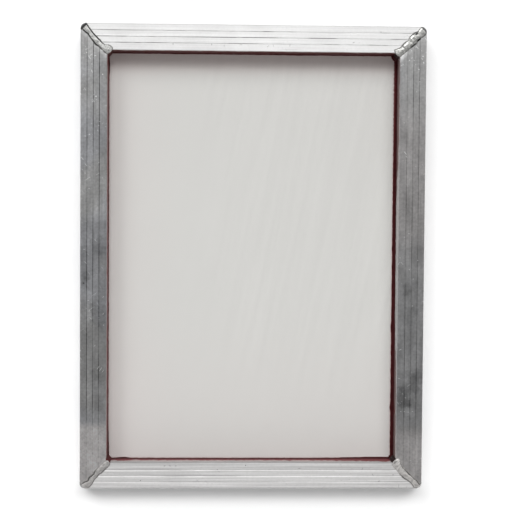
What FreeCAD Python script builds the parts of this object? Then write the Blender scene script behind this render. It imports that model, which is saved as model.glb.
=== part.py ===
"""A welded aluminium screen printing frame with its stretched mesh, 23 by 31 inches outside.

The frame lies on its mesh. X runs across the 23 inch width, Y along the 31 inch length, and +Z points
out of the ink well, towards the squeegee. The origin is the centre of the underside of the mesh.

From below upwards the pieces are the woven mesh, a film of adhesive under each rail that swells into a
bead at the foot of the inner wall, and four hollow rails cut to a mitre and welded along every seam of
the joint: across the upper face, down the inner corner, down the outer corner, which is ground round,
and across the underside, which is ground flush so that the mesh lies flat.
"""

import FreeCAD
import Part
import math
import os
import Sketcher

OUTPUT_FOLDER = "parts"
ROOT_TWO = math.sqrt(2)
LEFT = 1
RIGHT = -1
CLEAR = 2.0  # how far a cutting outline runs past the piece that it cuts
GROOVES = 3

# The driving dimensions, in millimetres.
DIMENSIONS = {
    "frame_width": 584.2,  # 23 in, across the outer faces
    "frame_length": 787.4,  # 31 in
    "rail_width": 44.45,  # 1 3/4 in
    "rail_height": 38.1,  # 1 1/2 in
    "rail_wall": 1.8,
    "rail_edge_radius": 0.8,
    "groove_margin": 11.2,  # from the outer face to the first groove
    "groove_pitch": 10.3,
    "groove_width": 0.9,
    "groove_depth": 0.45,
    "corner_radius": 8.0,  # of the ground outer corners, in plan
    "corner_cut": 11.0,  # how far the rails' ends are cut back for the weld of the outer corner
    "corner_facet": 6.3,  # from the corner to the upper edge of its ground facet, along the seam
    "weld_width": 8.0,
    "weld_root": 1.6,  # width of a bead at the bottom of its seam
    "weld_depth": 2.2,
    "weld_crown": 0.9,
    "weld_overrun": 3.5,  # of a seam's bead past the corner of the well
    "fillet_leg": 7.0,  # of the weld in the inner corner
    "fillet_face_radius": 14.0,
    "mesh_thickness": 0.15,
    "mesh_inset": 0.8,  # from the outer faces to the trimmed edge
    "film_thickness": 0.15,
    "film_inset": 0.4,
    "back_reach": 1.6,  # of each rail's adhesive, inwards over the mesh
    "front_reach": 1.4,
    "left_reach": 1.4,
    "right_reach": 6.0,
    "bead_rise": 2.5,  # of the adhesive, up the inner wall
    "bead_face_radius": 6.0,
    "seal_radius": 11.0,  # of the adhesive dabbed into an inner corner
    "seal_top_radius": 6.0,
    "seal_height": 4.5,
}

# Each rail: the angle that turns the back rail into it, and the way from the origin to it.
RAILS = {"back": (0, 0, 1), "left": (90, -1, 0), "front": (180, 0, -1), "right": (270, 1, 0)}

# Each corner: the way from the origin to it, and the angle of the diagonal that leads back in.
CORNERS = {
    "back_left": (-1, 1, -45),
    "back_right": (1, 1, -135),
    "front_left": (-1, -1, 45),
    "front_right": (1, -1, 135),
}


class Size:
    """A length that holds both its value and the spreadsheet expression that it comes from."""

    def __init__(self, value, text):
        self.value = value
        self.text = text

    def __add__(self, other):
        other = as_size(other)
        return Size(self.value + other.value, f"({self.text} + {other.text})")

    def __sub__(self, other):
        other = as_size(other)
        return Size(self.value - other.value, f"({self.text} - {other.text})")

    def __mul__(self, factor):
        factor = as_size(factor)
        return Size(self.value * factor.value, f"({self.text} * {factor.text})")

    def __truediv__(self, divisor):
        divisor = as_size(divisor)
        return Size(self.value / divisor.value, f"({self.text} / {divisor.text})")

    def __neg__(self):
        return self * -1


def as_size(number):
    """A plain number as a Size, and a Size as it is."""
    if isinstance(number, Size):
        return number
    return Size(float(number), f"({float(number)!r})")


def make_sheet(doc):
    """Fills the spreadsheet with the driving dimensions, and returns one Size for each."""
    sheet = doc.addObject("Spreadsheet::Sheet", "Dimensions")
    sizes = {}
    for row, (name, value) in enumerate(DIMENSIONS.items(), start=1):
        sheet.set(f"A{row}", name)
        sheet.set(f"B{row}", str(value))
        sheet.setAlias(f"B{row}", name)
        sizes[name] = Size(value, f"Dimensions.{name}")
    doc.recompute()
    return sizes


# Sketches and features


def arc_between(start, end, radius, turn):
    """The short arc from start to end that turns left or right as it goes."""
    chord = end - start
    leftwards = FreeCAD.Vector(-chord.y, chord.x, 0) / chord.Length
    height = math.sqrt(max(radius**2 - chord.Length**2 / 4, 0))
    centre = (start + end) / 2 + leftwards * height * turn
    first, last = (start, end) if turn == LEFT else (end, start)
    angles = [math.atan2(point.y - centre.y, point.x - centre.x) for point in (first, last)]
    return Part.ArcOfCircle(Part.Circle(centre, FreeCAD.Vector(0, 0, 1), radius), *angles)


def bind(sketch, kind, where, size):
    """Adds one dimension to a sketch and ties it to the spreadsheet."""
    index = sketch.addConstraint(Sketcher.Constraint(kind, *where, size.value))
    sketch.setExpression(f"Constraints[{index}]", size.text)


def draw_outline(sketch, corners):
    """Draws one closed outline and fixes each corner by its distances from the origin.

    A corner is (x, y), or (x, y, radius, turn) where the edge that arrives at it is an arc.
    """
    first = sketch.GeometryCount
    count = len(corners)
    ends = []
    for index, corner in enumerate(corners):
        before = corners[index - 1]
        start = FreeCAD.Vector(as_size(before[0]).value, as_size(before[1]).value, 0)
        end = FreeCAD.Vector(as_size(corner[0]).value, as_size(corner[1]).value, 0)
        if len(corner) == 2:
            sketch.addGeometry(Part.LineSegment(start, end), False)
            ends.append((1, 2))
        else:
            radius, turn = corner[2:]
            sketch.addGeometry(arc_between(start, end, radius.value, turn), False)
            ends.append((1, 2) if turn == LEFT else (2, 1))
    for index in range(count):
        after = (index + 1) % count
        sketch.addConstraint(
            Sketcher.Constraint("Coincident", first + index, ends[index][1], first + after, ends[after][0])
        )
    for index, corner in enumerate(corners):
        place = (-1, 1, first + index, ends[index][1])
        bind(sketch, "DistanceX", place, as_size(corner[0]))
        bind(sketch, "DistanceY", place, as_size(corner[1]))
        if len(corner) == 4:
            bind(sketch, "Radius", (first + index,), corner[2])


def make_sketch(body, plane, name, outlines):
    """A sketch of closed outlines on one of the body's origin planes."""
    sketch = body.newObject("Sketcher::SketchObject", f"{body.Name}_{name}")
    support = [feature for feature in body.Origin.OriginFeatures if feature.Role == plane]
    sketch.AttachmentSupport = [(support[0], "")]
    sketch.MapMode = "FlatFace"
    for corners in outlines:
        draw_outline(sketch, corners)
    return sketch


def add_pad(body, sketch, length, both_ways=False):
    """Extrudes a sketch along its normal, or half each way."""
    pad = body.newObject("PartDesign::Pad", f"{body.Name}_pad")
    pad.Profile = sketch
    pad.Length = length.value
    pad.setExpression("Length", length.text)
    pad.SideType = "Symmetric" if both_ways else "One side"
    body.Document.recompute()


def add_pocket(body, sketch, length):
    """Cuts a sketch through the body, half each way, and makes sure that it cuts something."""
    before = body.Shape.Volume
    pocket = body.newObject("PartDesign::Pocket", f"{body.Name}_pocket")
    pocket.Profile = sketch
    pocket.Length = length.value
    pocket.setExpression("Length", length.text)
    pocket.SideType = "Symmetric"
    body.Document.recompute()
    if body.Shape.Volume >= before:
        raise RuntimeError(f"{pocket.Name} cuts nothing")


def place(piece, angle, x, y, z):
    """Turns a piece about Z and moves it, with its place tied to the spreadsheet."""
    turn = FreeCAD.Rotation(FreeCAD.Vector(0, 0, 1), angle)
    piece.Placement = FreeCAD.Placement(FreeCAD.Vector(x.value, y.value, z.value), turn)
    for axis, size in (("x", x), ("y", y), ("z", z)):
        piece.setExpression(f"Placement.Base.{axis}", size.text)


def cut_away(doc, label, base, tools):
    """Cuts each tool from the base in turn. The last cut carries the sub-part's label."""
    for number, tool in enumerate(tools, start=1):
        cut = doc.addObject("Part::Cut", f"{label}_cut_{number}")
        cut.Base = base
        cut.Tool = tool
        base = cut
    base.Label = label
    return base


# Rails and adhesive films. Both are drawn as the back rail: X along the rail, y = 0 at the outer face.


def rail_profile(s):
    """The extrusion's section: a box tube with rounded edges and three grooves in its upper face."""
    width, height, edge = s["rail_width"], s["rail_height"], s["rail_edge_radius"]
    outer = [
        (-edge, 0),
        (0, edge, edge, LEFT),
        (0, height - edge),
        (-edge, height, edge, LEFT),
    ]
    for number in range(GROOVES):
        middle = -s["groove_margin"] - s["groove_pitch"] * number
        outer += [
            (middle + s["groove_width"] / 2, height),
            (middle, height - s["groove_depth"]),
            (middle - s["groove_width"] / 2, height),
        ]
    outer += [
        (edge - width, height),
        (-width, height - edge, edge, LEFT),
        (-width, edge),
        (edge - width, 0, edge, LEFT),
    ]
    wall = s["rail_wall"]
    hollow = [
        (wall - width, wall),
        (-wall, wall),
        (-wall, height - wall),
        (wall - width, height - wall),
    ]
    return [outer, hollow]


def film_profile(s, side):
    """The adhesive's section: a film under the rail and a hollow-faced bead at the inner wall."""
    rail, film = s["rail_width"], s["film_thickness"]
    return [
        [
            (-s["film_inset"], 0),
            (-s["film_inset"], film),
            (-rail, film),
            (-rail, film + s["bead_rise"]),
            (-rail - s[f"{side}_reach"], 0, s["bead_face_radius"], LEFT),
        ]
    ]


def mitre_outlines(half_length, reach, end_points):
    """What is cut from the two ends of a rail or film. end_points lead from the outer face to the mitre.

    Each end point is given from the end of the outer face, and the mitre then runs in to the reach.
    """
    outlines = []
    for side in (1, -1):
        corners = [((half_length + CLEAR) * side, CLEAR)]
        corners.append(((half_length + end_points[0][0]) * side, CLEAR))
        for point in end_points:
            arc = (point[2], point[3] * side) if len(point) == 4 else ()
            corners.append(((half_length + point[0]) * side, point[1], *arc))
        corners.append(((half_length - reach) * side, -reach))
        corners.append(((half_length + CLEAR) * side, -reach))
        outlines.append(corners)
    return outlines


def add_bar(doc, label, profile, length, mitre, depth):
    """A bar with the given section, cut at both ends by the mitre outlines."""
    body = doc.addObject("PartDesign::Body", label)
    add_pad(body, make_sketch(body, "YZ_Plane", "section", profile), length, both_ways=True)
    add_pocket(body, make_sketch(body, "XY_Plane", "mitre", mitre), depth)
    return body


def place_along_side(piece, s, side, z):
    """Moves a bar that was drawn as the back one to its own side of the frame."""
    angle, across, along = RAILS[side]
    place(piece, angle, s["frame_width"] / 2 * across, s["frame_length"] / 2 * along, z)


def outer_length(s, side):
    """The length of a rail along its outer face."""
    return s["frame_width"] if side in ("back", "front") else s["frame_length"]


def make_rail(doc, s, side, welds):
    """One mitred hollow rail, bevelled at its ends where the weld beads sit."""
    cut, length = s["corner_cut"], outer_length(s, side)
    bevel = [(-cut, 0), (-cut / 2, -cut / 2)]
    mitre = mitre_outlines(length / 2, s["rail_width"] + CLEAR, bevel)
    body = add_bar(doc, f"{side}_bar", rail_profile(s), length, mitre, s["rail_height"] * 3)
    place_along_side(body, s, side, s["mesh_thickness"] + s["film_thickness"])
    return cut_away(doc, f"rail_{side}", body, welds)


def make_film(doc, s, side, neighbours):
    """One mitred strip of adhesive under a rail, with its bead along the inner wall."""
    radius, inset, length = s["corner_radius"], s["film_inset"], outer_length(s, side)
    turned = (radius - inset) / ROOT_TWO - radius
    rounding = [(-radius, -inset), (turned, turned, radius - inset, RIGHT)]
    reach = s["rail_width"] + s[f"{side}_reach"] + CLEAR
    mitre = mitre_outlines(length / 2, reach, rounding)
    body = add_bar(doc, f"{side}_film", film_profile(s, side), length, mitre, s["rail_height"])
    place_along_side(body, s, side, s["mesh_thickness"])
    return cut_away(doc, f"adhesive_{side}", body, neighbours)


# Welds. Each is drawn at one corner: the origin at the outer corner, X along the diagonal inwards.


def place_at_corner(piece, s, corner, z, turn=0):
    """Moves a piece that was drawn from an outer corner to its own corner of the frame."""
    across, along, angle = CORNERS[corner]
    place(piece, angle + turn, s["frame_width"] / 2 * across, s["frame_length"] / 2 * along, z)


def seam_bead(doc, s, label, section):
    """A bead along the diagonal seam, from the weld of the outer corner to just past the inner one."""
    body = doc.addObject("PartDesign::Body", label)
    length = s["rail_width"] * ROOT_TWO + s["weld_overrun"]
    add_pad(body, make_sketch(body, "YZ_Plane", "section", [section]), length)
    half = s["weld_width"] / 2 + CLEAR
    start = s["corner_facet"]
    outside = [(-CLEAR, -half), (start, -half), (start, half), (-CLEAR, half)]
    add_pocket(body, make_sketch(body, "XY_Plane", "start", [outside]), s["rail_height"])
    return body


def make_face_weld(doc, s, corner):
    """The bead across the upper face, standing proud of it."""
    half, root, depth, crown = s["weld_width"] / 2, s["weld_root"] / 2, s["weld_depth"], s["weld_crown"]
    radius = (half * half + crown * crown) / (crown * 2)
    section = [(-root, -depth), (root, -depth), (half, 0), (-half, 0, radius, LEFT)]
    bead = seam_bead(doc, s, f"weld_face_{corner}", section)
    place_at_corner(bead, s, corner, s["mesh_thickness"] + s["film_thickness"] + s["rail_height"])
    return bead


def make_underside_weld(doc, s, corner):
    """The bead across the underside, ground flush with it."""
    half, root, depth = s["weld_width"] / 2, s["weld_root"] / 2, s["weld_depth"]
    section = [(-half, 0), (half, 0), (root, depth), (-root, depth)]
    bead = seam_bead(doc, s, f"weld_underside_{corner}", section)
    place_at_corner(bead, s, corner, s["mesh_thickness"] + s["film_thickness"])
    return bead


def make_outer_weld(doc, s, corner, face_weld, underside_weld):
    """The upright weld of the outer corner, ground to a radius, with a facet ground off its upper end."""
    body = doc.addObject("PartDesign::Body", f"outer_seam_{corner}")
    radius, height, facet = s["corner_radius"], s["rail_height"], s["corner_facet"]
    edge, cut = radius / ROOT_TWO, s["corner_cut"] / ROOT_TWO
    section = [(edge, edge, radius, RIGHT), (cut, cut), (cut, -cut), (edge, -edge)]
    add_pad(body, make_sketch(body, "XY_Plane", "section", [section]), height)
    wedge = [(facet, height), (-CLEAR, height), (-CLEAR, height - facet - CLEAR)]
    add_pocket(body, make_sketch(body, "XZ_Plane", "facet", [wedge]), height)
    place_at_corner(body, s, corner, s["mesh_thickness"] + s["film_thickness"])
    return cut_away(doc, f"weld_outer_{corner}", body, [face_weld, underside_weld])


def make_inner_weld(doc, s, corner, face_weld, underside_weld):
    """The upright fillet weld in the corner of the ink well, between the ends of the flat beads."""
    body = doc.addObject("PartDesign::Body", f"inner_fillet_{corner}")
    tip = s["rail_width"] * ROOT_TWO
    leg = s["fillet_leg"] / ROOT_TWO
    section = [(tip, 0), (tip + leg, -leg), (tip + leg, leg, s["fillet_face_radius"], LEFT)]
    add_pad(body, make_sketch(body, "XY_Plane", "section", [section]), s["rail_height"])
    place_at_corner(body, s, corner, s["mesh_thickness"] + s["film_thickness"])
    return cut_away(doc, f"weld_inner_{corner}", body, [face_weld, underside_weld])


# Corner seals and mesh


def make_corner_seal(doc, s, corner, welds):
    """A quarter of a flat cone: the adhesive dabbed into a corner of the well, round the welds."""
    cone = doc.addObject("Part::Cone", f"{corner}_dab")
    cone.Angle = 90
    for name, cell in (
        ("Radius1", "seal_radius"),
        ("Radius2", "seal_top_radius"),
        ("Height", "seal_height"),
    ):
        setattr(cone, name, s[cell].value)
        cone.setExpression(name, s[cell].text)
    across, along, angle = CORNERS[corner]
    x = (s["frame_width"] / 2 - s["rail_width"]) * across
    y = (s["frame_length"] / 2 - s["rail_width"]) * along
    place(cone, angle - 45, x, y, s["mesh_thickness"])
    return cut_away(doc, f"corner_seal_{corner}", cone, welds)


def make_mesh(doc, s):
    """The stretched mesh: one woven sheet, trimmed just inside the outer faces."""
    body = doc.addObject("PartDesign::Body", "screen_mesh")
    x = s["frame_width"] / 2 - s["mesh_inset"]
    y = s["frame_length"] / 2 - s["mesh_inset"]
    radius = s["corner_radius"] - s["mesh_inset"]
    outline = [
        (x - radius, -y),
        (x, radius - y, radius, LEFT),
        (x, y - radius),
        (x - radius, y, radius, LEFT),
        (radius - x, y),
        (-x, y - radius, radius, LEFT),
        (-x, radius - y),
        (radius - x, -y, radius, LEFT),
    ]
    add_pad(body, make_sketch(body, "XY_Plane", "outline", [outline]), s["mesh_thickness"])
    return body


def make_document():
    """Builds every sub-part and returns the document with the list of them."""
    doc = FreeCAD.newDocument("screen_printing_frame")
    s = make_sheet(doc)
    face = {corner: make_face_weld(doc, s, corner) for corner in CORNERS}
    underside = {corner: make_underside_weld(doc, s, corner) for corner in CORNERS}
    inner = {c: make_inner_weld(doc, s, c, face[c], underside[c]) for c in CORNERS}
    outer = {c: make_outer_weld(doc, s, c, face[c], underside[c]) for c in CORNERS}
    seals = {c: make_corner_seal(doc, s, c, [inner[c], underside[c]]) for c in CORNERS}
    rails, films = {}, {}
    for side in RAILS:
        ends = [corner for corner in CORNERS if side in corner.split("_")]
        over_rails = [group[end] for group in (face, underside) for end in ends]
        over_films = [group[end] for group in (inner, underside, seals) for end in ends]
        rails[side] = make_rail(doc, s, side, over_rails)
        films[side] = make_film(doc, s, side, over_films)
    groups = (rails, face, underside, outer, inner, films, seals)
    subparts = [piece for group in groups for piece in group.values()]
    subparts.append(make_mesh(doc, s))
    doc.recompute()
    return doc, subparts


def check(doc, subparts):
    """Stops the script if an object has failed or a sub-part isn't one valid solid."""
    for item in doc.Objects:
        if {"Invalid", "Error"} & set(item.State):
            raise RuntimeError(f"{item.Label} failed: {item.State}")
    for piece in subparts:
        shape = piece.Shape
        if shape.isNull() or not shape.isValid() or len(shape.Solids) != 1:
            raise RuntimeError(f"{piece.Label} isn't one valid solid")


def main():
    doc, subparts = make_document()
    check(doc, subparts)
    os.makedirs(OUTPUT_FOLDER, exist_ok=True)
    for piece in subparts:
        piece.Shape.exportStep(os.path.join(OUTPUT_FOLDER, f"{piece.Label}.step"))
        size = piece.Shape.BoundBox
        print(
            f"{piece.Label}: {piece.Shape.Volume:.1f} mm3,"
            f" {size.XLength:.2f} x {size.YLength:.2f} x {size.ZLength:.2f} mm"
        )


main()
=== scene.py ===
"""The looks of a welded aluminium screen printing frame, built round its CAD model.

Lengths are in metres. The frame lies on its mesh: X runs across it, Y along it towards the back rail,
and Z up out of the ink well. The rails and the ground underside welds are the CAD model's own shapes.
The other welds, the adhesive and the mesh are modelled here, where they can be as uneven as they are.
"""

import functools
import math

import bpy
import numpy as np
from mathutils import Matrix, Vector, noise


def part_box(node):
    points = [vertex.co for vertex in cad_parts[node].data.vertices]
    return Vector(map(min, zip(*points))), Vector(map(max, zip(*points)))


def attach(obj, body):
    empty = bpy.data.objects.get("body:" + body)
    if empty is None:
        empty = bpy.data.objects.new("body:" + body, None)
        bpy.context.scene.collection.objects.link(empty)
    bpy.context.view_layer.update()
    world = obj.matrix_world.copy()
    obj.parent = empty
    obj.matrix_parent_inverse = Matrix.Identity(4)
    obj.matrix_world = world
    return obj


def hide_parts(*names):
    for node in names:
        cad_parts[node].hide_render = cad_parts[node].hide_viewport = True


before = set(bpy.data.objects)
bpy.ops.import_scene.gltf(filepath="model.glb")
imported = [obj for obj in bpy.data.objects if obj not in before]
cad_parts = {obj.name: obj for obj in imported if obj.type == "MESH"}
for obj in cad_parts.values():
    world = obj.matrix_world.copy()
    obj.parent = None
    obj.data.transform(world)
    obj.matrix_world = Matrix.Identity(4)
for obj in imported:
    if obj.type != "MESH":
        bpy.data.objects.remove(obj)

scene = bpy.context.scene

MM = 0.001
SIDES = ("back", "front", "left", "right")
CORNERS = ("back_left", "back_right", "front_left", "front_right")

# Sizes of the CAD model, read from its nodes.
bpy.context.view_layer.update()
rail_low, rail_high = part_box("rail_left")
OUTER_X = -rail_low.x
OUTER_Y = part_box("rail_back")[1].y
RAIL_WIDTH = rail_high.x - rail_low.x
RAIL_TOP = rail_high.z
RAIL_BOTTOM = rail_low.z
MESH_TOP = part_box("screen_mesh")[1].z
INNER_X = OUTER_X - RAIL_WIDTH
INNER_Y = OUTER_Y - RAIL_WIDTH
SEAM_LENGTH = RAIL_WIDTH * math.sqrt(2)

# The grooves along each rail's upper face, from the outer face.
GROOVES = (11.2 * MM, 21.5 * MM, 31.8 * MM)
GROOVE_WIDTH = 0.9 * MM

# The cut corners, in mm: the radius of the built-up corner, where the rails' cut crosses the seam and
# where the facet ground off the corner's top ends; and the groove between the rails that the bead fills.
CORNER_RADIUS = 8.0
CORNER_CUT = 11.0 / math.sqrt(2)
FACET_END = 6.3
SEAM_HALF = 4.0
SEAM_ROOT_HALF = 0.8
SEAM_DEPTH = 2.2


# Shader nodes


class Graph:
    """A node tree whose nodes are made with short calls. A value is a number, a colour or a socket."""

    def __init__(self, owner):
        owner.use_nodes = True
        self.nodes = owner.node_tree.nodes
        self.links = owner.node_tree.links

    def feed(self, socket, value):
        """Links a socket to another, or sets its number or colour."""
        if isinstance(value, bpy.types.NodeSocket):
            self.links.new(value, socket)
        elif isinstance(value, tuple) and len(value) == 3 and socket.type == "RGBA":
            socket.default_value = (*value, 1)
        else:
            socket.default_value = value

    def node(self, kind, inputs=(), **settings):
        """A new node, its settings, and values for its first inputs or, from a dict, for named ones."""
        node = self.nodes.new(f"ShaderNode{kind}")
        for name, setting in settings.items():
            setattr(node, name, setting)
        for key, value in inputs.items() if isinstance(inputs, dict) else enumerate(inputs):
            self.feed(node.inputs[key], value)
        return node

    def math(self, operation, *values):
        return self.node("Math", values, operation=operation).outputs[0]

    def chain(self, operation, values):
        """An operation on two numbers, done to the first two values, then to the result and the next."""
        return functools.reduce(lambda result, value: self.math(operation, result, value), values)

    def add(self, *values):
        return self.chain("ADD", values)

    def times(self, *values):
        return self.chain("MULTIPLY", values)

    def minus(self, first, second):
        return self.math("SUBTRACT", first, second)

    def size(self, value):
        """A number without its sign."""
        return self.math("ABSOLUTE", value)

    def vector(self, operation, first, second):
        return self.node("VectorMath", (first, second), operation=operation).outputs[0]

    def split(self, vector):
        """A vector's X, Y and Z, or a colour's red, green and blue."""
        return self.node("SeparateXYZ", (vector,)).outputs


class Shader(Graph):
    """A material, whose patterns are drawn at a point in the frame's own metres."""

    def __init__(self, name):
        self.material = bpy.data.materials.new(name)
        super().__init__(self.material)
        self.surface = self.nodes["Principled BSDF"].inputs
        self.point = self.node("TexCoord").outputs["Object"]
        self.x, self.y, self.z = self.split(self.point)

    def set(self, name, value):
        """Sets one of the surface's inputs."""
        self.feed(self.surface[name], value)

    def turned(self, angle):
        """The point turned about Z by an angle in radians."""
        inputs = {"Vector": self.point, "Angle": angle}
        return self.node("VectorRotate", inputs, rotation_type="Z_AXIS").outputs[0]

    def noise(self, scales, detail=2.0, roughness=0.5, point=None, output="Fac"):
        """Perlin noise from 0 to 1 with its scale per metre, which may differ along each axis."""
        if not isinstance(scales, tuple):
            scales = (scales,) * 3
        scaled = self.vector("MULTIPLY", point or self.point, scales)
        inputs = {"Vector": scaled, "Scale": 1, "Detail": detail, "Roughness": roughness}
        return self.node("TexNoise", inputs).outputs[output]

    def ramp(self, value, start, end, low=0.0, high=1.0):
        """Goes smoothly from low, where value is start, to high, where it is end."""
        inputs = (value, start, end, low, high)
        return self.node("MapRange", inputs, interpolation_type="SMOOTHSTEP").outputs[0]

    def fade(self, distance, start, end, low=0.0, high=1.0):
        """A ramp over a distance, whose start and end are in mm."""
        return self.ramp(distance, start * MM, end * MM, low, high)

    def around(self, value, low, high):
        """Goes from low to high as a noise value passes through the middle of its range."""
        return self.ramp(value, 0.3, 0.7, low, high)

    def mix(self, factor, first, second):
        """Mixes two colours."""
        return self.node("Mix", {0: factor, 6: first, 7: second}, data_type="RGBA").outputs[2]

    def shade(self, colour, factor):
        """A colour times a number."""
        return self.node("VectorMath", {0: colour, "Scale": factor}, operation="SCALE").outputs[0]

    def bump(self, height, distance, strength=1.0):
        """Bumps the surface, on top of the bump before it."""
        inputs = {"Height": height, "Distance": distance, "Strength": strength}
        before = self.surface["Normal"].links
        if before:
            inputs["Normal"] = before[0].from_socket
        self.set("Normal", self.node("Bump", inputs).outputs[0])

    def line(self, value, centre, half):
        """1 where value is at a centre, fading to 0 at half a width away."""
        return self.ramp(self.size(self.minus(value, centre)), half, half * 0.4)

    def band(self, value, start, end, soft):
        """1 between a start and an end, each edge fading over a soft length."""
        rise = self.ramp(value, start - soft / 2, start + soft / 2)
        fall = self.ramp(value, end + soft / 2, end - soft / 2)
        return self.times(rise, fall)

    def ragged(self, scale, reach):
        """The point pushed about by noise, which makes what is drawn with it ragged."""
        push = self.vector("SUBTRACT", self.noise(scale, detail=3, output="Color"), (0.5, 0.5, 0.5))
        return self.vector("ADD", self.point, self.vector("MULTIPLY", push, (reach, reach, 0)))

    def stroke(self, x, y, length, width, angle, point=None):
        """A mark drawn on the upper face: 1 on its middle line, fading to 0 at its edge. Sizes in mm."""
        inputs = {
            "Vector": point or self.point,
            "Location": (x * MM, y * MM, 0),
            "Rotation": (0, 0, math.radians(angle)),
            "Scale": (length / 2 * MM, width / 2 * MM, 1000),
        }
        placed = self.node("Mapping", inputs, vector_type="TEXTURE").outputs[0]
        away = self.node("VectorMath", (placed,), operation="LENGTH").outputs["Value"]
        return self.ramp(away, 1.0, 0.35)

    def scratches(self, cell, angle, length, width, share):
        """Short straight scratches at one angle: one in each of a share of the cells."""
        scaled = self.vector("MULTIPLY", self.turned(angle), (1 / cell, 1 / cell, 0))
        cells = self.node("TexVoronoi", {"Scale": 1, "Vector": scaled}, voronoi_dimensions="2D")
        offset = self.split(self.vector("SUBTRACT", scaled, cells.outputs["Position"]))
        chosen = self.split(cells.outputs["Color"])
        reach = self.times(chosen[1], length / 2 / cell)
        inside = self.ramp(self.minus(self.size(offset[0]), reach), 0.02, 0.0)
        thin = self.ramp(self.size(offset[1]), width / 2 / cell, width / 5 / cell)
        kept = self.math("GREATER_THAN", chosen[0], 1 - share)
        return self.times(inside, thin, kept)


# Rails

RAIL_COLOUR = (0.602, 0.600, 0.598)
BLUE_RAIL_COLOUR = (0.575, 0.585, 0.625)
WARM_RAIL_COLOUR = (0.612, 0.594, 0.590)

MARK_STRENGTH = 2.1
PATCH_STRENGTH = 1.6
PATCH_SPREAD = 1.35  # a patch's ragged edge eats into it, so it is drawn this much larger

# How a rail looks, with lengths in mm. "lands" are the tones between the grooves; the front rail's are set
# darker as painted shade. "groove" is how dark the grooves are, with dirt and the painted shade of their
# slopes, "dashes" how far that darkening breaks up into dashes, and "glint" how bright the painted
# highlight on the slope beside each groove is. "streaks" is the contrast of the die lines, "mottle" how
# blotchy the face is, "knocks" how much its many faint scratches stand out and "frost" how light the metal
# beside the welds is. "edge" and "lip" are the tones of the outer and inner edges and walls: painted shade.
# "blue" and "warm" are how far the colour drifts, and "wall" is the adhesive smeared up the well's wall:
# its height at places along the frame, its soft edge, its strength and its colour. A zone is a start, an
# end and a soft edge along the rail, how far in from the outer face it reaches, and its tone: partly real
# stains, partly painted light for stretches that reflect the lights more or less. A patch or a mark is its
# place, its length and width, its angle in degrees and how much lighter it is. PLAIN_RAIL is what a rail
# has unless its own table differs.
PLAIN_RAIL = dict(knocks=0.75, dashes=0, blue=0, frost=0, edge=1, glint=(0, 0, 0), warm=[], patches=[])
RAILS = {}
RAILS["back"] = dict(
    streaks=0.05, mottle=0.02, knocks=-0.12, groove=0.42, dashes=2.2, lip=0.72, edge=0.74,
    lands=(1.04, 1.07, 1.06, 1.04),
    zones=[(-300, -236, 30, 50, 1.02), (-300, -80, 90, 50, 0.97)],
    marks=[
        (-120, 372, 60, 1.2, 0.5, -0.1), (60, 353, 46, 1.1, 0.3, -0.09), (140, 381, 70, 1.2, 0.4, -0.09),
        (-137, 360, 6, 1.5, 88, -0.26), (-72, 360, 5, 1.5, 90, -0.24), (-51, 358, 6, 1.4, 90, -0.18),
        (-23, 360, 7, 1.5, 0, -0.18), (23, 358, 7, 1.8, 40, -0.17), (32, 359, 6, 1.4, 90, -0.17),
        (60, 360, 7, 1.4, 85, -0.22), (168, 366, 5, 2.4, 20, -0.2), (214, 384, 5, 1.8, 0, -0.18),
    ],
    # The back wall faces away from the lights: its near-black smear is partly painted shade.
    wall=([(0, 42)], 12, 0.96, (0.075, 0.018, 0.015)),
)
RAILS["front"] = dict(
    streaks=0.16, mottle=0.03, knocks=-0.15, groove=0.25, lip=0.72, edge=0.74,
    # Lands set darker than the back rail's: painted shade for the lights standing behind the frame.
    lands=(0.84, 0.86, 0.84, 0.8),
    warm=[(-300, 300, 10, 0.3)],
    glint=(0.22, 0.46, 0.46),
    zones=[(-300, -60, 120, 50, 0.96)],
    marks=[
        (82, -359, 7, 1.5, 0, -0.15), (172, -360, 3, 1.5, 0, -0.12), (190, -360, 7, 1.5, 70, -0.16),
        (208, -370, 8, 1.5, -60, -0.15), (219, -381, 6, 2.6, 20, -0.13), (243, -370, 4, 2.6, 0, -0.16),
        (154, -380, 3, 1.6, 90, -0.12), (253, -389, 10, 1.4, 88, -0.14), (266, -391, 8, 1.3, 88, -0.1),
        (-10, -354, 3, 1.4, 80, -0.5), (-58, -361, 2, 1.2, 0, -0.4), (-55, -365, 2, 1.2, 0, -0.35),
        (-148, -355, 4, 1, 10, -0.5), (-139, -355, 5, 1, -8, -0.4), (-129, -355, 4, 1, 5, -0.4),
        (-189, -380, 2.5, 1.3, 30, -0.5),
    ],
    wall=([(0, 33)], 14, 0.45, (0.42, 0.28, 0.27)),
)
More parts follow.
